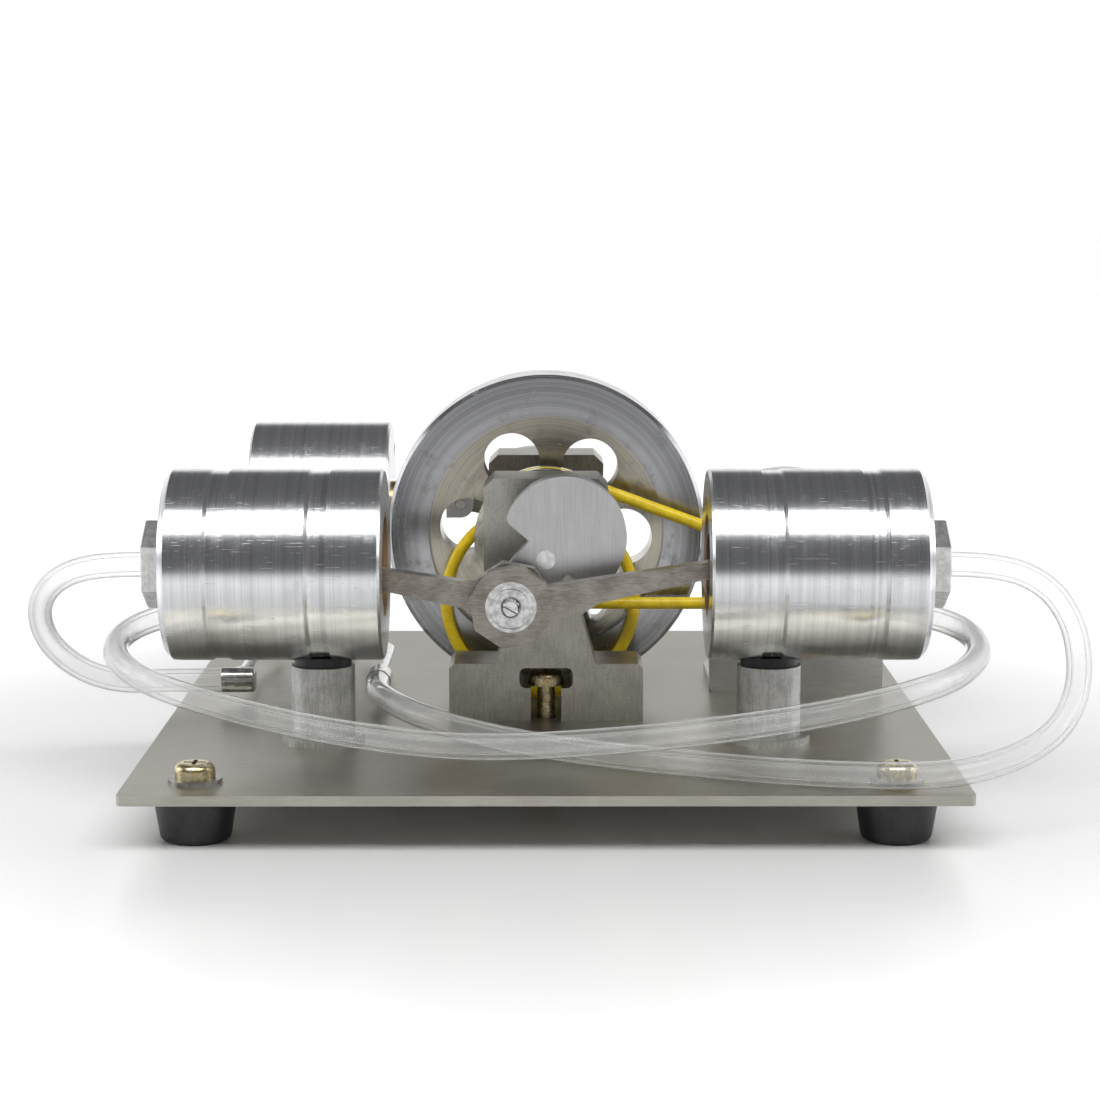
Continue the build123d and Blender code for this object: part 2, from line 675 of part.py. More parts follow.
fork_half, fork_gap = 3.2, hot_rod_t / 2 + 0.2
with BuildPart() as crosshead:
    with BuildSketch(back_plane(crosshead_x, hot_y - fork_half, axis_z)):
        with Locations((-fork_back / 2, 0)):
            Rectangle(fork_back, 5.0)
        Circle(2.5)
    extrude(amount=2 * fork_half)
    with BuildSketch(back_plane(crosshead_x, hot_y - fork_gap, axis_z)):
        with Locations((2.2, 0)):
            Rectangle(8.4, 8.0)
    extrude(amount=2 * fork_gap, mode=Mode.SUBTRACT)
    with BuildSketch(back_plane(crosshead_x, hot_y - fork_half, axis_z)):
        Circle(wrist_r)
    extrude(amount=2 * fork_half, mode=Mode.SUBTRACT)
save(crosshead.part, "crosshead")
save(plain_pin(crosshead_x, hot_y - fork_half, axis_z, wrist_r, 2 * fork_half), "crosshead_pin")

hot_rod_y = hot_y - hot_rod_t / 2
plane = rod_plane(hot_pin[0], hot_rod_y, hot_pin[1], crosshead_x, axis_z)
rod = rod_with_eyes(plane, hot_rod_len, hot_rod_t, 5.8, bearing_r, 1.8, wrist_r + running_gap, 1.8, 1.2)
save(rod, "hot_rod")
save(rod_bearing(hot_pin[0], hot_rod_y, hot_pin[1], hot_rod_t, pin_r), "hot_rod_bearing")
hot_pin_y0 = crank_end_y + 0.2
with BuildPart() as hot_crank_pin:
    with BuildSketch(back_plane(hot_pin[0], hot_pin_y0, hot_pin[1])):
        Circle(pin_r)
    extrude(amount=hot_rod_y + hot_rod_t + 1.4 - hot_pin_y0)
    with BuildSketch(back_plane(hot_pin[0], hot_pin_y0, hot_pin[1])):
        Circle(2.5)
    extrude(amount=hot_rod_y - hot_pin_y0)
save(hot_crank_pin.part, "hot_crank_pin")

# ================================================================ transfer pipes and their fittings
left_pipe_x, right_pipe_x, fitting_y = -52.0, -28.3, -2.0
pipe_rise = axis_z - cyl_r + 1.2


def transfer_pipe(start_x, start_y, end_x):
    with BuildPart() as pipe:
        with BuildLine():
            FilletPolyline((start_x, start_y, pipe_z), (start_x, 28, pipe_z), (end_x, 38, pipe_z),
                           (end_x, port_y, pipe_z), (end_x, port_y, pipe_rise), radius=3.5)
        with BuildSketch(back_plane(start_x, start_y, pipe_z)):
            Circle(pipe_r)
        sweep()
    return pipe.part


left_pipe = transfer_pipe(left_pipe_x, fitting_y + 2.4, port_x[0])
right_pipe = transfer_pipe(right_pipe_x, fitting_y + 4.0, port_x[1])
save(Compound(children=[left_pipe, right_pipe]), "transfer_pipes")

hose_left_end_x = -54.8
fitting_r = 2.1
with BuildPart() as left_elbow:
    with BuildSketch(Plane(origin=(hose_left_end_x, fitting_y, pipe_z), z_dir=(1, 0, 0))):
        Circle(fitting_r)
    extrude(amount=left_pipe_x + 2.8 - hose_left_end_x)
    fillet(left_elbow.faces().sort_by(Axis.X)[-1].edges(), 0.6)
    with BuildSketch(back_plane(left_pipe_x, fitting_y, pipe_z)):
        Circle(fitting_r - 0.2)
    extrude(amount=2.4)
hose_right_end_y = -4.0
with BuildPart() as right_coupling:
    with BuildSketch(back_plane(right_pipe_x, hose_right_end_y, pipe_z)):
        Circle(fitting_r)
    extrude(amount=fitting_y + 4.0 - hose_right_end_y)
    fillet(right_coupling.faces().sort_by(Axis.Y)[-1].edges(), 0.6)
save(Compound(children=[left_elbow.part, right_coupling.part]), "pipe_fittings")

# ================================================================ hoses
hose_left_route = [
    (-plug_x, front_y, axis_z), (-70, front_y, axis_z), (-76.7, -29.4, 34.6), (-80.9, -24.6, 30.2),
    (-82.2, -18.7, 24.8), (-80.7, -12.9, 19.4), (-76.8, -7.8, 15), (-71.3, -4.0, 12.6),
    (-63.4, fitting_y, pipe_z), (hose_left_end_x, fitting_y, pipe_z),
]
hose_right_route = [
    (plug_x, front_y, axis_z), (70.7, front_y, axis_z), (78, -34.6, 34.2), (81.3, -39.2, 29.2),
    (81.5, -45.2, 23.8), (79.6, -51.8, 19.0), (75.4, -57.7, 15), (68.6, -62.6, 12.4),
    (59.4, -66.7, 10.9), (48.3, -67.6, 11.0), (36.5, -64, 10.7), (23, -58.6, 10.65), (9, -52, 10.65),
    (-3.5, -43.5, 10.65), (-13.5, -34.5, 11), (-20.5, -26.5, 11.5), (-25.6, -18.4, 12.2),
    (right_pipe_x, -11.2, pipe_z), (right_pipe_x, hose_right_end_y, pipe_z),
]
hose_balance_route = [
    (balance_end_x, balance_y, balance_z), (57.2, balance_y, balance_z), (63.2, -18.1, 26),
    (67.2, -23.2, 25), (68.4, -30.6, 23.8), (67, -38.4, 22.6), (61, -49.5, 21.2), (46, -60, 19.4),
    (28, -65.5, 17.6), (9, -67.5, 16), (-12, -66, 14.6), (-32, -61, 16.1), (-49.4, -53, 18.4),
    (-60.5, -45, 20.2), (-66.2, -37.6, 21.8), (-68.4, -30.4, 23.4), (-67.2, -23.2, 24.8),
    (-63.2, -18.1, 26), (-57.2, balance_y, balance_z), (-balance_end_x, balance_y, balance_z),
]


def route_radii(points):
    """Arc radius at each corner: 0.45 of the shorter run over the tangent of half the turn."""
    corners = [Vector(*point) for point in points]
    radii = []
    for before, here, after in zip(corners, corners[1:], corners[2:]):
        run_in, run_out = here - before, after - here
        half_turn = radians(run_in.get_angle(run_out)) / 2
        radii.append(0.45 * min(run_in.length, run_out.length) / tan(half_turn))
    return radii


def hose(name, points):
    radii = route_radii(points)
    with BuildPart() as tube:
        with BuildLine() as path:
            FilletPolyline(*points, radius=radii)
        first = Vector(*points[1]) - Vector(*points[0])
        with BuildSketch(Plane(origin=points[0], z_dir=first)):
            Circle(hose_r)
        sweep()
    length = path.wires()[0].length
    print(name, "length", round(length, 1), "smallest radii", [round(r, 1) for r in sorted(radii)[:4]],
          "volume ratio", round(tube.part.volume / (pi * hose_r ** 2 * length), 4))
    save(tube.part, name)


hose("hose_left", hose_left_route)
hose("hose_right", hose_right_route)
hose("hose_balance", hose_balance_route)

# ================================================================ belts
drop = axis_z - gen_z
centre_distance = sqrt(gen_x ** 2 + drop ** 2)
line_angle = atan2(-drop, gen_x)
wrap = acos((belt_big_r - belt_small_r) / centre_distance)


def belt_point(x, z, radius, angle):
    return (x + radius * cos(angle), belt_y, z + radius * sin(angle))


with BuildPart() as drive_belt:
    with BuildLine():
        up, down = line_angle + wrap, line_angle - wrap
        big_top, big_low = (belt_point(0, axis_z, belt_big_r, a) for a in (up, down))
        small_top, small_low = (belt_point(gen_x, gen_z, belt_small_r, a) for a in (up, down))
        Line(big_top, small_top)
        ThreePointArc(small_top, belt_point(gen_x, gen_z, belt_small_r, line_angle), small_low)
        Line(small_low, big_low)
        ThreePointArc(big_low, belt_point(0, axis_z, belt_big_r, line_angle + pi), big_top)
    with BuildSketch(Plane(origin=big_top, z_dir=Vector(*small_top) - Vector(*big_top))):
        Circle(belt_r)
    sweep()
save(drive_belt.part, "drive_belt")

with BuildPart() as spare_belt:
    with BuildSketch(Plane(origin=(spare_x, spare_y, plate_top + spare_r + belt_r), x_dir=(1, 0, 0),
                           z_dir=(0, 0, 1))):
        with Locations((spare_r, 0)):
            Circle(belt_r)
    revolve(axis=Axis((spare_x, spare_y, plate_top + spare_r + belt_r), (0, 1, 0)))
save(spare_belt.part, "spare_belt")

# ================================================================ generator
gen_section = Plane(origin=(gen_x, 0, gen_z), x_dir=(0, 1, 0), z_dir=(1, 0, 0))
gen_axis = Axis((gen_x, 0, gen_z), (0, 1, 0))
rotor_r, can_t, cap_t, boss_r = 1.0, 1.0, 3.0, 3.5
boss_y0 = gen_y0 - bracket_t - 0.6
can_y1 = gen_y1 - cap_t
rotor_bore = rotor_r + running_gap

save(turned(gen_section, [
    (boss_y0, rotor_bore), (boss_y0, boss_r), (gen_y0, boss_r),
    (gen_y0, gen_r - 1.2), (gen_y0 + 1.2, gen_r),
    (can_y1, gen_r), (can_y1, gen_r - can_t), (gen_y0 + can_t, gen_r - can_t), (gen_y0 + can_t, rotor_bore),
], gen_axis), "generator_can")

save(turned(gen_section, [
    (can_y1 - 1.2, rotor_bore), (can_y1 - 1.2, gen_r - can_t), (can_y1, gen_r - can_t), (can_y1, gen_r),
    (gen_y1 - 0.8, gen_r), (gen_y1, gen_r - 0.8), (gen_y1, 4.0),
    (gen_y1 + 1.2, 4.0), (gen_y1 + 1.2, rotor_bore),
], gen_axis), "generator_end_cap")

magnet_y0, magnet_len, magnet_t = gen_y0 + 3.0, 14.0, 3.2
with BuildPart() as generator_magnets:
    with BuildSketch(back_plane(gen_x, magnet_y0, gen_z)):
        Circle(gen_r - can_t)
        Circle(gen_r - can_t - magnet_t, mode=Mode.SUBTRACT)
        Rectangle(8, 40, mode=Mode.SUBTRACT)
    extrude(amount=magnet_len)
save(generator_magnets.part, "generator_magnets")

commutator_y0, commutator_len = magnet_y0 + magnet_len + 1.0, 1.6
save(turned(gen_section, [
    (boss_y0 - 13.0, 0), (boss_y0 - 13.0, rotor_r), (gen_y1 + 0.6, rotor_r), (gen_y1 + 0.6, 0),
], gen_axis), "rotor_shaft")

with BuildPart() as armature:
    with BuildSketch(back_plane(gen_x, magnet_y0 + 0.5, gen_z)):
        Circle(4.0)
        with PolarLocations(7.2, 3, start_angle=90):
            Rectangle(8.0, 3.4)
        with PolarLocations(9.8, 3, start_angle=90):
            Rectangle(1.8, 11.0)
        Circle(11.2, mode=Mode.INTERSECT)
        Circle(rotor_r, mode=Mode.SUBTRACT)
    extrude(amount=magnet_len - 1.0)
save(armature.part, "armature")

with BuildPart() as commutator:
    with BuildSketch(back_plane(gen_x, commutator_y0 - 1.4, gen_z)):
        Circle(3.0)
        Circle(rotor_r, mode=Mode.SUBTRACT)
    extrude(amount=commutator_len + 1.2)
save(commutator.part, "commutator")

brush_w = 1.2
with BuildPart() as brush_gear:
    for direction in (-1, 1):
        with BuildSketch(back_plane(gen_x, commutator_y0 - 1.0, gen_z)):
            with Locations((direction * (3.05 + brush_w / 2), 0)):
                Rectangle(brush_w, 2.4)
        extrude(amount=can_y1 - 1.2 - commutator_y0 + 1.0)
        with BuildSketch(back_plane(gen_x, gen_y1, gen_z)):
            with Locations((direction * 8.0, 0)):
                Rectangle(0.5, 2.8)
        extrude(amount=4.0)
save(brush_gear.part, "brush_gear")

small_y1 = pulley_y1 + 2.5
save(grooved_pulley(gen_section, gen_axis, belt_small_r, 4.6, 2.6, small_y1, rotor_r), "small_pulley")

bracket_w, bracket_depth, bracket_up = 30.0, 18.0, 11.0
with BuildPart() as generator_bracket:
    with BuildSketch(side_plane(1, gen_y0 - bracket_t, gen_z)):
        with Locations((gen_x, (bracket_up - gen_z + plate_top) / 2)):
            RectangleRounded(bracket_w, bracket_up + gen_z - plate_top, 0.8)
        with Locations((gen_x, 0)):
            Circle(boss_r + 0.1, mode=Mode.SUBTRACT)
    extrude(amount=-bracket_t)
    with BuildSketch(Plane.XY.offset(plate_top)):
        with Locations((gen_x, gen_y0 - bracket_t + bracket_depth / 2)):
            RectangleRounded(bracket_w, bracket_depth, 0.8)
    extrude(amount=bracket_t)
    with Locations(*[(x, y, plate_top) for x, y in bracket_screws]):
        Cylinder(m3_hole_r, 10, mode=Mode.SUBTRACT)
save(generator_bracket.part, "generator_bracket")
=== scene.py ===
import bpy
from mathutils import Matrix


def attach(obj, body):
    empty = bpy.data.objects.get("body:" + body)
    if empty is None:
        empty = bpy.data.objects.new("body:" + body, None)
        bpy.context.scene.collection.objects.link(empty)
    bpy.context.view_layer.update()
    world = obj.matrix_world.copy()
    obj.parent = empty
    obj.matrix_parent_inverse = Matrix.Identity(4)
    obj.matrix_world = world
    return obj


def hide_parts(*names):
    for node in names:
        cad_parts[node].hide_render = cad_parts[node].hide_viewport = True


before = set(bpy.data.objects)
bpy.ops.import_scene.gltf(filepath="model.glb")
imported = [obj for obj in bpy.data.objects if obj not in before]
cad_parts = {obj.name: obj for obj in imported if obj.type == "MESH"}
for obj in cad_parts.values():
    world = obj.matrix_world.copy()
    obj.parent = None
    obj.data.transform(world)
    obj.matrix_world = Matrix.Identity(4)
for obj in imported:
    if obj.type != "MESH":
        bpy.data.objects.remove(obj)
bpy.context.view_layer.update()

import math

import bmesh
import bpy
from mathutils import Vector

MM = 0.001


# ---------------------------------------------------------------- shader expressions
class Value:
    """A number on a shader socket. Arithmetic on it adds Math nodes."""

    def __init__(self, finish, socket):
        self.finish = finish
        self.socket = socket

    def _math(self, operation, *inputs):
        node = self.finish.node("ShaderNodeMath", {"operation": operation}, dict(enumerate(inputs)))
        return Value(self.finish, node.outputs[0])

    def __add__(self, other):
        return self._math("ADD", self, other)

    def __sub__(self, other):
        return self._math("SUBTRACT", self, other)

    def __rsub__(self, other):
        return self._math("SUBTRACT", other, self)

    def __mul__(self, other):
        return self._math("MULTIPLY", self, other)

    def __truediv__(self, other):
        return self._math("DIVIDE", self, other)

    def __pow__(self, other):
        return self._math("POWER", self, other)

    def between(self, low, high):
        """0 below low, 1 above high, smooth between."""
        node = self.finish.node("ShaderNodeMapRange", {"interpolation_type": "SMOOTHSTEP"},
                                {"Value": self, "From Min": low, "From Max": high})
        return Value(self.finish, node.outputs["Result"])


class Finish:
    """A material built from nodes, placed by the object's own coordinates in millimetres."""

    def __init__(self, name):
        self.material = bpy.data.materials.new(name)
        self.material.use_nodes = True
        self.tree = self.material.node_tree
        self.shader = self.tree.nodes["Principled BSDF"]
        coordinates = self.node("ShaderNodeTexCoord")
        scaled = self.node("ShaderNodeVectorMath", {"operation": "SCALE"},
                           {"Vector": coordinates.outputs["Object"], "Scale": 1 / MM})
        self.place = scaled.outputs["Vector"]
        split = self.node("ShaderNodeSeparateXYZ", {}, {"Vector": self.place})
        self.x, self.y, self.z = (Value(self, split.outputs[axis]) for axis in "XYZ")

    def node(self, kind, settings=None, sockets=None):
        node = self.tree.nodes.new(kind)
        for setting, value in (settings or {}).items():
            setattr(node, setting, value)
        for socket, value in (sockets or {}).items():
            self.feed(node.inputs[socket], value)
        return node

    def feed(self, socket, value):
        if isinstance(value, Value):
            value = value.socket
        if isinstance(value, bpy.types.NodeSocket):
            self.tree.links.new(value, socket)
        else:
            socket.default_value = value

    def vector(self, x, y, z):
        return self.node("ShaderNodeCombineXYZ", {}, {"X": x, "Y": y, "Z": z}).outputs[0]

    def noise(self, scale, detail=3.0, place=None, roughness=0.6):
        sockets = {"Vector": place or self.place, "Scale": scale, "Detail": detail, "Roughness": roughness}
        return Value(self, self.node("ShaderNodeTexNoise", {}, sockets).outputs[0])

    def radius(self, axis, centre):
        """Distance from a line along one axis."""
        first, second = [value for letter, value in zip("xyz", (self.x, self.y, self.z)) if letter != axis]
        squares = (first - centre[0]) ** 2 + (second - centre[1]) ** 2
        return squares ** 0.5

    def mix(self, amount, low, high):
        node = self.node("ShaderNodeMix", {"data_type": "RGBA"}, {"Factor": amount})
        self.feed(node.inputs[6], (*low, 1) if isinstance(low, tuple) else low)
        self.feed(node.inputs[7], (*high, 1) if isinstance(high, tuple) else high)
        return node.outputs[2]

    def bump(self, height, distance_mm, strength=1.0):
        sockets = {"Height": height, "Distance": distance_mm * MM, "Strength": strength}
        return self.node("ShaderNodeBump", {}, sockets).outputs["Normal"]

    def done(self, **sockets):
        names = {"color": "Base Color", "rough": "Roughness", "metal": "Metallic", "normal": "Normal",
                 "alpha": "Alpha", "coat": "Coat Weight", "ior": "IOR", "specular": "Specular IOR Level",
                 "glow": "Emission Color", "glow_strength": "Emission Strength"}
        for key, value in sockets.items():
            self.feed(self.shader.inputs[names[key]], value)
        return self.material


# ---------------------------------------------------------------- finishes
AXIS_Z = 36.8
FRONT_LINE = (-32.2, AXIS_Z)
HOT_LINE = (48.0, AXIS_Z)
SHAFT_LINE = (0.0, AXIS_Z)
GENERATOR_LINE = (43.3, 29.1)


def turned(name, axis, centre, light, dark, rough=0.22, ring=5.0):
    """Metal turned in a lathe: fine rings about its axis, on its sides and faces, with handling marks."""
    f = Finish(name)
    along = {"x": f.x, "y": f.y, "z": f.z}[axis]
    out = f.radius(axis, centre)
    fine = f.noise(1.0, 2.0, f.vector(along * ring, out * ring, 0.0))
    broad = f.noise(1.0, 2.0, f.vector(along * (ring * 0.16), out * (ring * 0.16), 7.0))
    marks = f.noise(0.35, 5.0).between(0.52, 0.72)
    scratch = f.noise(1.0, 2.0, f.vector(f.x * 0.25, f.y * 6.0, f.z * 6.0)).between(0.66, 0.72)
    tone = fine * 0.45 + broad * 0.55
    color = f.mix(tone.between(0.3, 0.7), dark, light)
    color = f.mix(marks * 0.11, color, tuple(0.6 * c for c in dark))
    roughness = fine * 0.12 + marks * 0.07 + scratch * 0.1 + (rough - 0.06)
    return f.done(color=color, metal=1.0, rough=roughness,
                  normal=f.bump(fine * 0.7 + broad * 0.5 + scratch * 0.4, 0.012, 0.6))


def sheet_metal(name, light, dark, along, rough=0.28, grain=9.0, bumpy=0.01):
    """Rolled or brushed sheet: streaks along one direction, stains and small pits."""
    f = Finish(name)
    stretch = [grain, grain, grain]
    stretch["xyz".index(along)] = grain * 0.02
    streak = f.noise(1.0, 3.0, f.vector(f.x * stretch[0], f.y * stretch[1], f.z * stretch[2]))
    stain = f.noise(0.06, 5.0)
    pits = f.noise(2.6, 4.0).between(0.62, 0.74)
    color = f.mix((streak * 0.5 + stain * 0.5).between(0.3, 0.7), dark, light)
    color = f.mix(pits * 0.3, color, tuple(0.45 * c for c in dark))
    roughness = streak * 0.14 + stain * 0.16 + pits * 0.15 + (rough - 0.12)
    return f.done(color=color, metal=1.0, rough=roughness, normal=f.bump(streak + pits * 0.5, bumpy, 0.5))


def cast_metal(name, light, dark, rough=0.5, grain=1.4, height=0.05):
    """Raw cast or sawn aluminium: mottled, grainy, with dull patches."""
    f = Finish(name)
    grit = f.noise(grain * 3.0, 5.0, roughness=0.7)
    cloud = f.noise(grain * 0.22, 4.0)
    drag = f.noise(1.0, 2.0, f.vector(f.x * 3.0, f.y * 3.0, f.z * 0.35))
    color = f.mix((grit * 0.4 + cloud * 0.35 + drag * 0.25).between(0.36, 0.62), dark, light)
    roughness = grit * 0.2 + cloud * 0.2 + (rough - 0.2)
    return f.done(color=color, metal=1.0, rough=roughness,
                  normal=f.bump(grit * 0.7 + drag * 0.3, height, 0.6))


def plated(name, light, dark, rough=0.25, tint=None):
    """Small plated or ground hardware with cloudy tint, rub marks and grime in the hollows."""
    f = Finish(name)
    cloud = f.noise(0.9, 4.0)
    rub = f.noise(1.0, 3.0, f.vector(f.x * 6.0, f.y * 6.0, f.z * 1.2))
    grime = f.noise(2.4, 3.0).between(0.6, 0.75)
    color = f.mix(cloud.between(0.35, 0.65), dark, light)
    if tint:
        patches = f.noise(0.7, 2.0, f.vector(f.x, f.y, f.z * 2.0)).between(0.48, 0.62)
        color = f.mix(patches * 0.5, color, tint)
    color = f.mix(grime * 0.35, color, tuple(0.3 * c for c in dark))
    return f.done(color=color, metal=1.0, rough=cloud * 0.12 + rub * 0.1 + grime * 0.15 + (rough - 0.1),
                  normal=f.bump(rub * 0.6 + grime * 0.3, 0.012, 0.5))


def moulded(name, light, dark, rough=0.5, grain=3.0, specular=0.4):
    """Rubber, nylon or graphite: fine moulding grain, dust and a cloudy tone."""
    f = Finish(name)
    grit = f.noise(grain, 4.0)
    cloud = f.noise(0.22, 3.0)
    dust = f.noise(0.8, 5.0).between(0.58, 0.8)
    color = f.mix(cloud.between(0.35, 0.65), dark, light)
    color = f.mix(dust * 0.12, color, (0.42, 0.41, 0.4))
    return f.done(color=color, rough=grit * 0.14 + dust * 0.12 + (rough - 0.08),
                  normal=f.bump(grit, 0.02, 0.45), specular=specular)


def rod_with_painted_highlight(name):
    """Dark rolled steel plate with long file strokes, lighter on its narrow edges: a painted highlight."""
    f = Finish(name)
    geometry = f.node("ShaderNodeNewGeometry")
    into_object = {"vector_type": "NORMAL", "convert_from": "WORLD", "convert_to": "OBJECT"}
    turned_normal = f.node("ShaderNodeVectorTransform", into_object,
                           {"Vector": geometry.outputs["True Normal"]})
    facing = f.node("ShaderNodeSeparateXYZ", {}, {"Vector": turned_normal.outputs[0]})
    edge = 1 - (Value(f, facing.outputs["Y"]) ** 2.0).between(0.2, 0.6)
    stroke = f.noise(1.0, 3.0, f.vector(f.x * 0.7, f.y * 6.0, f.z * 8.0))
    cloud = f.noise(0.35, 4.0)
    tone = (stroke * 0.5 + cloud * 0.5).between(0.35, 0.65)
    color = f.mix(tone, (0.21, 0.19, 0.165), (0.42, 0.395, 0.355))
    # Narrow edges take a light colour: a painted highlight.
    color = f.mix(edge, color, (0.72, 0.70, 0.66))
    return f.done(color=color, metal=1.0, rough=stroke * 0.18 + cloud * 0.16 + 0.2 - edge * 0.06,
                  normal=f.bump(stroke, 0.014, 0.5))


def clear_plastic(name, centre, rim, color=(0.9, 0.91, 0.9), edge_shade_color=(0.22, 0.225, 0.215)):
    """Clear soft tube wall: nearly invisible face on, with painted grey shade towards its edges, faintly
    smeared.
    """
    f = Finish(name)
    edge = Value(f, f.node("ShaderNodeLayerWeight", {}, {"Blend": 0.5}).outputs["Facing"])
    smear = f.noise(0.5, 4.0)
    streak = f.noise(1.0, 2.0, f.vector(f.x * 0.2, f.y * 1.5, f.z * 1.5)).between(0.58, 0.8)
    alpha = edge.between(0.3, 0.9) * rim + smear * 0.03 + streak * 0.05 + centre
    # Towards the edges as seen, the tone turns grey: painted shade.
    tone = f.mix(edge.between(0.5, 0.95), color, edge_shade_color)
    tone = f.mix(smear.between(0.45, 0.75) * 0.2, tone, tuple(0.9 * c for c in color))
    return f.done(color=tone, alpha=alpha, rough=smear * 0.06 + 0.03, ior=1.6, specular=1.0, coat=1.0,
                  normal=f.bump(smear, 0.03, 0.15))


def belt_plastic(name):
    """Yellow urethane cord: a little see-through, with a dusty satin skin."""
    f = Finish(name)
    cloud = f.noise(0.4, 4.0)
    dust = f.noise(1.6, 4.0).between(0.55, 0.8)
    color = f.mix(cloud.between(0.35, 0.65), (0.74, 0.52, 0.006), (0.88, 0.66, 0.015))
    color = f.mix(dust * 0.18, color, (0.9, 0.82, 0.45))
    return f.done(color=color, rough=cloud * 0.14 + dust * 0.2 + 0.22,
                  normal=f.bump(cloud + dust, 0.02, 0.4))


def turned_wheel(name, rim_from):
    """Flywheel: a bright turned rim and, inside it, a darker, warmer polished web whose tone is painted
    shade of the recess and a painted warm reflection.
    """
    f = Finish(name)
    out = f.radius("y", SHAFT_LINE)
    fine = f.noise(1.0, 2.0, f.vector(f.y * 3.2, out * 3.2, 0.0))
    broad = f.noise(1.0, 2.0, f.vector(f.y * 0.6, out * 0.6, 3.0))
    marks = f.noise(0.3, 5.0).between(0.5, 0.72)
    tone = (fine * 0.5 + broad * 0.5).between(0.3, 0.7)
    rim = f.mix(tone, (0.27, 0.275, 0.29), (0.50, 0.505, 0.52))
    # The web's warmer, darker colours are painted shade of the recess and a painted brownish reflection.
    web = f.mix(tone, (0.33, 0.305, 0.25), (0.52, 0.49, 0.42))
    color = f.mix(out.between(rim_from - 0.15, rim_from + 0.05), web, rim)
    color = f.mix(marks * 0.15, color, (0.3, 0.29, 0.27))
    return f.done(color=color, metal=1.0, rough=fine * 0.16 + marks * 0.1 + 0.12,
                  normal=f.bump(fine * 0.7 + broad * 0.5, 0.02, 0.7))


bright = (0.78, 0.79, 0.81)
bright_dark = (0.52, 0.53, 0.55)
finishes = {
    # The brownish tint of the plate's colours is a painted reflection of the warm surroundings.
    "plate": sheet_metal("brushed_stainless", (0.58, 0.56, 0.505), (0.40, 0.38, 0.325), "x", 0.36),
    "cylinder": turned("turned_aluminium_x", "x", FRONT_LINE, bright, bright_dark, 0.2, 5.0),
    "hot_cylinder": turned("turned_hot_cylinder", "x", HOT_LINE,
                           (0.84, 0.85, 0.87), bright_dark, 0.24, 5.0),
    "flywheel": turned_wheel("turned_flywheel", 20.0),
    "pulley": turned("turned_pale_pulley", "y", SHAFT_LINE,
                     (0.82, 0.79, 0.70), (0.62, 0.59, 0.5), 0.26, 5.0),
    "small_pulley": turned("turned_bronze_pulley", "y", GENERATOR_LINE,
                           (0.72, 0.55, 0.3), (0.5, 0.36, 0.18), 0.25),
    "web": sheet_metal("satin_web", (0.70, 0.70, 0.70), (0.52, 0.52, 0.53), "z", 0.36, 7.0, 0.02),
    "post": cast_metal("raw_cast_post", (0.66, 0.66, 0.65), (0.36, 0.36, 0.35), 0.48, 1.6, 0.06),
    "pedestal": cast_metal("sawn_extrusion", (0.58, 0.565, 0.52), (0.36, 0.35, 0.315), 0.4, 1.0, 0.03),
    "bracket": sheet_metal("bent_sheet", (0.72, 0.72, 0.71), (0.5, 0.5, 0.5), "x", 0.34),
    "can": sheet_metal("zinc_can", (0.68, 0.69, 0.71), (0.5, 0.51, 0.53), "y", 0.3, 5.0),
    "steel": plated("bright_steel", (0.72, 0.72, 0.72), (0.5, 0.5, 0.5), 0.2),
    "grey_steel": plated("grey_steel", (0.5, 0.5, 0.49), (0.3, 0.3, 0.3), 0.32),
    "plug": plated("head_plug_steel", (0.84, 0.84, 0.83), (0.64, 0.64, 0.63), 0.4),
    "nickel": plated("nickel_fitting", (0.7, 0.69, 0.66), (0.46, 0.45, 0.43), 0.2),
    "zinc": plated("yellow_zinc", (0.74, 0.66, 0.42), (0.52, 0.42, 0.2), 0.26, tint=(0.6, 0.5, 0.45)),
    "bronze": turned("bored_bronze", "x", FRONT_LINE, (0.62, 0.42, 0.26), (0.3, 0.17, 0.1), 0.3, 4.0),
    "gland": plated("bronze_gland", (0.7, 0.52, 0.28), (0.46, 0.32, 0.15), 0.28),
    "rod": rod_with_painted_highlight("rolled_rod_steel"),
    "rubber": moulded("black_rubber", (0.022, 0.022, 0.026), (0.01, 0.01, 0.012), 0.42, 2.5, 0.5),
    "graphite": moulded("graphite", (0.13, 0.13, 0.135), (0.06, 0.06, 0.065), 0.45, 4.0),
    "nylon": moulded("white_nylon", (0.74, 0.73, 0.69), (0.6, 0.59, 0.55), 0.5, 2.0),
    "ferrite": moulded("ferrite", (0.16, 0.16, 0.17), (0.08, 0.08, 0.09), 0.6, 5.0),
    "copper": plated("copper", (0.8, 0.5, 0.3), (0.55, 0.3, 0.16), 0.3),
    "belt": belt_plastic("yellow_urethane"),
    "hose_wall": clear_plastic("clear_hose_wall", 0.1, 0.8),
    "hose_bore": clear_plastic("clear_hose_bore", 0.04, 0.6),
    "bearing": plated("bearing_steel", (0.66, 0.66, 0.66), (0.4, 0.4, 0.4), 0.2),
}

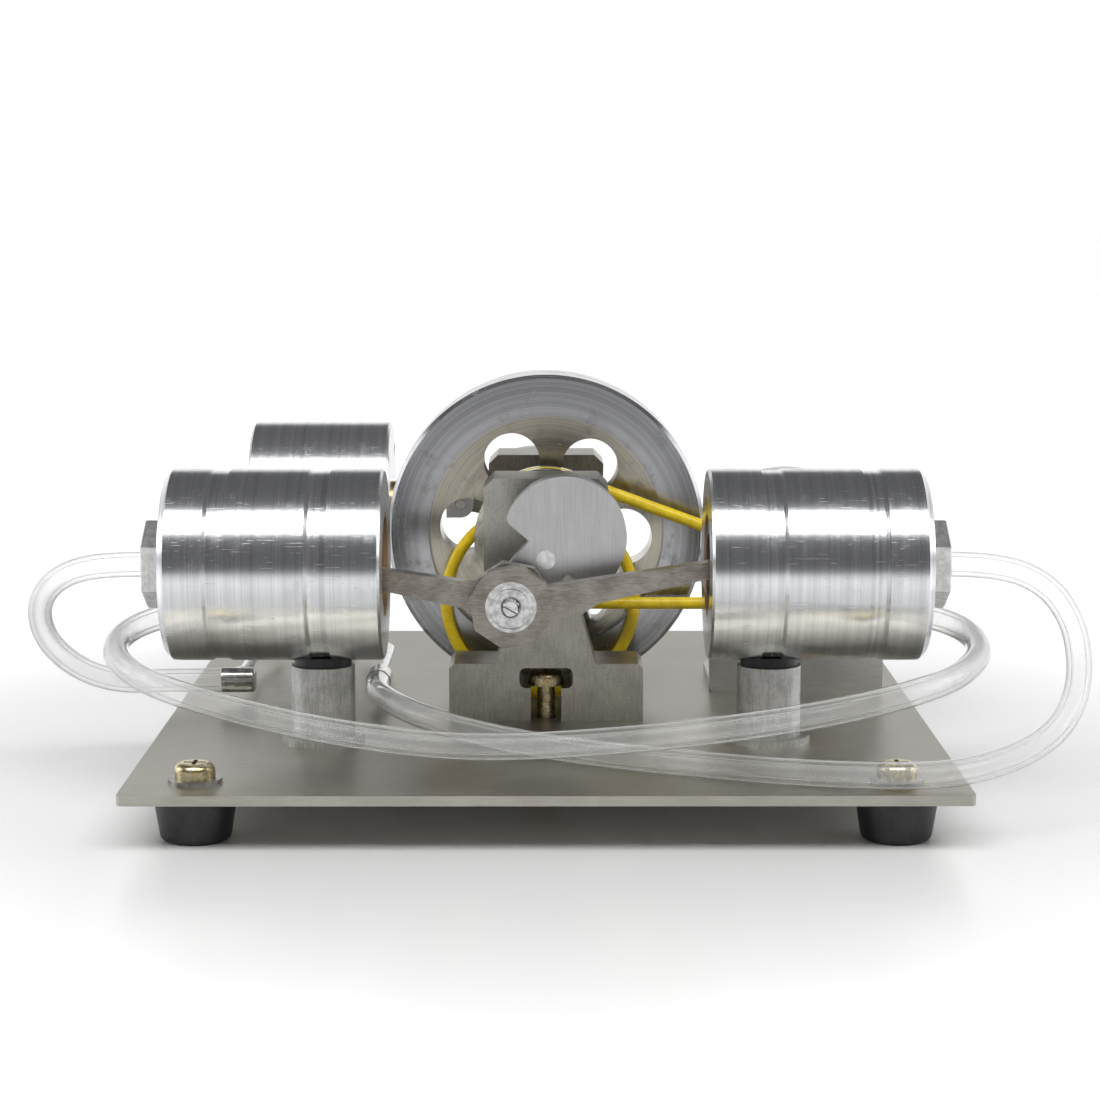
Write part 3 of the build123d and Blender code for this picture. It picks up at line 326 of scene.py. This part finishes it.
node_finish = {
    "plate": ["base_plate"],
    "cylinder": ["left_cylinder", "right_cylinder"],
    "hot_cylinder": ["hot_barrel", "hot_outer_cover", "hot_inner_cover"],
    "flywheel": ["flywheel"],
    "pulley": ["belt_pulley"],
    "small_pulley": ["small_pulley"],
    "web": ["front_web", "rear_web", "crosshead"],
    "post": ["cylinder_posts"],
    "pedestal": ["front_pedestal", "rear_pedestal"],
    "bracket": ["generator_bracket"],
    "can": ["generator_can"],
    "steel": ["crankshaft", "piston_rod", "crank_pin", "hot_crank_pin", "left_wrist_pin", "right_wrist_pin",
              "crosshead_pin", "rotor_shaft", "transfer_pipes"],
    "grey_steel": ["foot_washers", "post_screws", "cover_screws", "shaft_collars"],
    "plug": ["head_plugs"],
    "nickel": ["pipe_fittings", "balance_elbows"],
    "zinc": ["foot_screws", "mounting_screws", "lock_nuts"],
    "bronze": ["cylinder_liners"],
    "gland": ["gland_bush", "commutator"],
    "rod": ["left_rod", "right_rod", "hot_rod"],
    "rubber": ["rubber_feet", "post_gaskets"],
    "graphite": ["left_piston", "right_piston", "hot_piston"],
    "nylon": ["generator_end_cap"],
    "ferrite": ["generator_magnets", "armature"],
    "copper": ["brush_gear"],
    "belt": ["drive_belt", "spare_belt"],
    "bearing": ["left_rod_bearing", "right_rod_bearing", "hot_rod_bearing", "shaft_bearings"],
}
for finish, nodes in node_finish.items():
    for node in nodes:
        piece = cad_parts[node]
        for slot in piece.material_slots:
            slot.material = finishes[finish]


# ---------------------------------------------------------------- hoses
HOSE_RADIUS, BORE_RADIUS = 2.0 * MM, 1.25 * MM
hose_routes = {
    "hose_left": [
        (-62.7, -32.2, 36.8), (-70, -32.2, 36.8), (-76.7, -29.4, 34.6), (-80.9, -24.6, 30.2),
        (-82.2, -18.7, 24.8), (-80.7, -12.9, 19.4), (-76.8, -7.8, 15), (-71.3, -4.0, 12.6),
        (-63.4, -2.0, 12.6), (-54.8, -2.0, 12.6),
    ],
    "hose_right": [
        (62.7, -32.2, 36.8), (70.7, -32.2, 36.8), (78, -34.6, 34.2), (81.3, -39.2, 29.2),
        (81.5, -45.2, 23.8), (79.6, -51.8, 19.0), (75.4, -57.7, 15), (68.6, -62.6, 12.4),
        (59.4, -66.7, 10.9), (48.3, -67.6, 11.0), (36.5, -64, 10.7), (23, -58.6, 10.65), (9, -52, 10.65),
        (-3.5, -43.5, 10.65), (-13.5, -34.5, 11), (-20.5, -26.5, 11.5), (-25.6, -18.4, 12.2),
        (-28.3, -11.2, 12.6), (-28.3, -4.0, 12.6),
    ],
    "hose_balance": [
        (50, -15.5, 26.6), (57.2, -15.5, 26.6), (63.2, -18.1, 26), (67.2, -23.2, 25), (68.4, -30.6, 23.8),
        (67, -38.4, 22.6), (61, -49.5, 21.2), (46, -60, 19.4), (28, -65.5, 17.6), (9, -67.5, 16),
        (-12, -66, 14.6), (-32, -61, 16.1), (-49.4, -53, 18.4), (-60.5, -45, 20.2), (-66.2, -37.6, 21.8),
        (-68.4, -30.4, 23.4), (-67.2, -23.2, 24.8), (-63.2, -18.1, 26), (-57.2, -15.5, 26.6),
        (-50, -15.5, 26.6),
    ],
}


def tube_along(name, route, radius, finish):
    curve = bpy.data.curves.new(name, "CURVE")
    curve.dimensions = "3D"
    curve.bevel_depth = radius
    curve.bevel_resolution = 10
    curve.resolution_u = 16
    curve.use_fill_caps = False
    spline = curve.splines.new("NURBS")
    spline.points.add(len(route) - 1)
    for point, place in zip(spline.points, route):
        point.co = (*(value * MM for value in place), 1)
    spline.order_u = 3
    spline.use_endpoint_u = True
    curve.materials.append(finish)
    tube = bpy.data.objects.new(name, curve)
    bpy.context.scene.collection.objects.link(tube)
    return tube


for name, route in hose_routes.items():
    wall = tube_along(name + "_wall", route, HOSE_RADIUS, finishes["hose_wall"])
    bore = tube_along(name + "_bore", route, BORE_RADIUS, finishes["hose_bore"])
    for piece in (wall, bore):
        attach(piece, "frame")
    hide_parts(name)


# ---------------------------------------------------------------- small mesh pieces
def mesh_piece(name, mesh, finish, body):
    made = bpy.data.meshes.new(name)
    mesh.to_mesh(made)
    mesh.free()
    made.materials.append(finish)
    for face in made.polygons:
        face.use_smooth = True
    piece = bpy.data.objects.new(name, made)
    bpy.context.scene.collection.objects.link(piece)
    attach(piece, body)


def thread(name, base, direction, length, outer, pitch, finish, body):
    """A V-thread standing on a shank: one spiral ridge swept round the axis."""
    steps = 28
    turns = length / pitch
    mesh = bmesh.new()
    along = Vector(direction).normalized()
    side = along.orthogonal().normalized()
    other = along.cross(side)
    section = [(-0.46, -0.24), (0.0, 0.0), (0.46, -0.24)]
    rows = []
    for step in range(int(turns * steps) + 1):
        turn = 2 * math.pi * step / steps
        outward = side * math.cos(turn) + other * math.sin(turn)
        middle = pitch * step / steps
        fade = min(1.0, step / steps, (turns * steps - step) / steps + 0.001)
        row = []
        for shift, depth in section:
            radius = outer + depth - (1 - fade) * 0.24 * (1 if depth == 0 else 0)
            point = Vector(base) + along * (middle + shift * pitch) + outward * radius
            row.append(mesh.verts.new(point * MM))
        rows.append(row)
    for first, second in zip(rows, rows[1:]):
        for index in range(3):
            after = (index + 1) % 3
            mesh.faces.new((first[index], first[after], second[after], second[index]))
    mesh.faces.new(rows[0])
    mesh.faces.new(rows[-1][::-1])
    bmesh.ops.recalc_face_normals(mesh, faces=mesh.faces)
    mesh_piece(name, mesh, finish, body)


CRANK_THROW, CRANK_ANGLE = 8.4, math.radians(229.2)
THREAD_RADIUS, THREAD_PITCH = 1.56, 0.5
pin_x = CRANK_THROW * math.cos(CRANK_ANGLE)
pin_z = AXIS_Z + CRANK_THROW * math.sin(CRANK_ANGLE)
thread("crank_pin_thread", (pin_x, -36.95, pin_z), (0, 1, 0), 1.4, THREAD_RADIUS, THREAD_PITCH,
       finishes["steel"], "left_rod")
for name, y in (("front", -13.3), ("rear", 28.5)):
    thread(name + "_pedestal_screw_thread", (0, y, 9.0), (0, 0, 1), 4.6, THREAD_RADIUS, THREAD_PITCH,
           finishes["zinc"], "frame")

# ---------------------------------------------------------------- floor, light and camera
floor_mesh = bpy.data.meshes.new("floor")
floor_mesh.from_pydata([(-6, -6, 0), (6, -6, 0), (6, 6, 0), (-6, 6, 0)], [], [(0, 1, 2, 3)])
floor = bpy.data.objects.new("floor", floor_mesh)
bpy.context.scene.collection.objects.link(floor)
f = Finish("pale_floor")
f_cloud = f.noise(0.01, 3.0)
# The floor far from the model glows: painted light that lifts it to the white of the backdrop.
far = f.radius("z", (0, 0)).between(78, 200) * f.y.between(-460, -340)
floor_mesh.materials.append(f.done(color=f.mix(f_cloud, (0.88, 0.88, 0.88), (0.91, 0.91, 0.91)),
                                   glow=f.mix(far, (0.0, 0.0, 0.0), (0.4, 0.4, 0.4)), glow_strength=1.0,
                                   rough=f_cloud * 0.06 + 0.2, specular=0.25))


def area_light(name, place, target, size, power):
    data = bpy.data.lights.new(name, "AREA")
    data.shape = "RECTANGLE"
    data.size, data.size_y = size
    data.energy = power
    lamp = bpy.data.objects.new(name, data)
    lamp.location = place
    lamp.rotation_euler = (Vector(target) - Vector(place)).to_track_quat("-Z", "Y").to_euler()
    bpy.context.scene.collection.objects.link(lamp)


area_light("front_softbox", (0, -0.62, 1.03), (0, 0, 0.03), (1.8, 0.56), 14.0)
area_light("left_fill", (-1.3, 0.1, 0.5), (0, 0, 0.04), (0.7, 0.7), 3.0)
area_light("right_fill", (1.3, 0.1, 0.5), (0, 0, 0.04), (0.7, 0.7), 3.0)

world = bpy.data.worlds.new("studio")
bpy.context.scene.world = world
world.use_nodes = True
tree = world.node_tree
direction = tree.nodes.new("ShaderNodeTexCoord")
split = tree.nodes.new("ShaderNodeSeparateXYZ")
tree.links.new(direction.outputs["Generated"], split.inputs[0])


def smooth_range(socket, low, high):
    node = tree.nodes.new("ShaderNodeMapRange")
    node.interpolation_type = "SMOOTHSTEP"
    node.inputs["From Min"].default_value = low
    node.inputs["From Max"].default_value = high
    tree.links.new(socket, node.inputs["Value"])
    return node.outputs["Result"]


behind = smooth_range(split.outputs["Y"], -0.15, 0.5)
low = smooth_range(split.outputs["Z"], 0.5, 0.24)
product = tree.nodes.new("ShaderNodeMath")
product.operation = "MULTIPLY"
tree.links.new(behind, product.inputs[0])
tree.links.new(low, product.inputs[1])
strength = tree.nodes.new("ShaderNodeMath")
strength.operation = "MULTIPLY_ADD"
strength.inputs[1].default_value = 1.0
strength.inputs[2].default_value = 0.14
tree.links.new(product.outputs[0], strength.inputs[0])
tree.nodes["Background"].inputs["Color"].default_value = (1, 1, 1, 1)
tree.links.new(strength.outputs[0], tree.nodes["Background"].inputs["Strength"])

camera_data = bpy.data.cameras.new("camera")
camera_data.sensor_width = 36
camera_data.lens = 85.09
camera_data.clip_start = 0.01
camera = bpy.data.objects.new("camera", camera_data)
camera.location = (0, -0.4352, 0.0956)
camera.rotation_euler = (math.radians(82.01), 0, math.radians(-0.088))
bpy.context.scene.collection.objects.link(camera)
bpy.context.scene.camera = camera
bpy.context.scene.view_settings.view_transform = "Standard"
